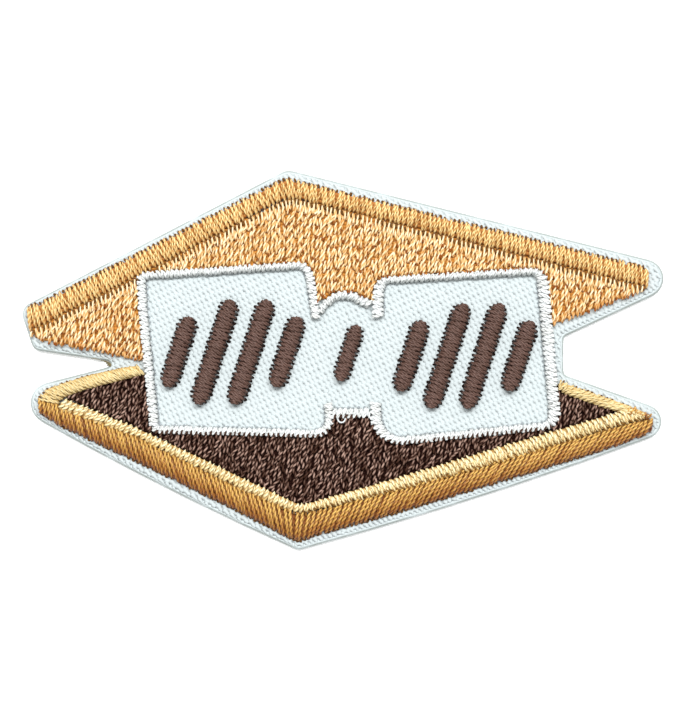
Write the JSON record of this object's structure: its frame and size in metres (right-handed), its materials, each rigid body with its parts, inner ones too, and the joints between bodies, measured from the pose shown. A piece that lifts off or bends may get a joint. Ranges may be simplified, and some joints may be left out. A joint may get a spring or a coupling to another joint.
{
  "type": "embroidered patch",
  "caption": "Flat die-cut embroidered patch picturing a toasted marshmallow and chocolate cracker sandwich in satin and fill stitching on white twill.",
  "frame": {"origin": "middle of the bounding box at the back face", "axes": "+X along the patch's length, +Y up the picture, +Z out of the stitched face"},
  "size_m": [0.0642, 0.038, 0.0019],
  "materials": {
    "white_twill": "bleached white twill, diagonal weave",
    "cracker_thread": "light orange rayon thread, fill stitch, silky",
    "golden_thread": "golden rayon thread, satin stitch, silky",
    "pale_yellow_thread": "pale yellow rayon thread, satin stitch, silky",
    "amber_thread": "amber rayon thread, satin stitch, silky",
    "chocolate_thread": "dark brown rayon thread, fill stitch, silky",
    "white_thread": "white rayon thread, satin stitch, silky",
    "toast_brown_thread": "brown rayon thread, satin stitch, silky"
  },
  "bodies": {
    "root": {"twill_ground": "white_twill", "upper_cracker_face_left": "cracker_thread", "upper_cracker_face_main": "cracker_thread", "upper_cracker_rim": "golden_thread", "lower_cracker_rim_left": "pale_yellow_thread", "lower_cracker_rim_right": "pale_yellow_thread", "lower_cracker_light_band": "pale_yellow_thread", "lower_cracker_side_band": "amber_thread", "chocolate_field_left": "chocolate_thread", "chocolate_field_middle": "chocolate_thread", "chocolate_field_right": "chocolate_thread", "left_marshmallow_border": "white_thread", "right_marshmallow_border": "white_thread", "middle_marshmallow_arch": "white_thread", "middle_marshmallow_foot": "white_thread", "toast_bar_left_1": "toast_brown_thread", "toast_bar_left_2": "toast_brown_thread", "toast_bar_left_3": "toast_brown_thread", "toast_bar_left_4": "toast_brown_thread", "toast_bar_right_1": "toast_brown_thread", "toast_bar_right_2": "toast_brown_thread", "toast_bar_right_3": "toast_brown_thread", "toast_bar_right_4": "toast_brown_thread", "toast_bar_middle": "toast_brown_thread"}
  },
  "joints": []
}
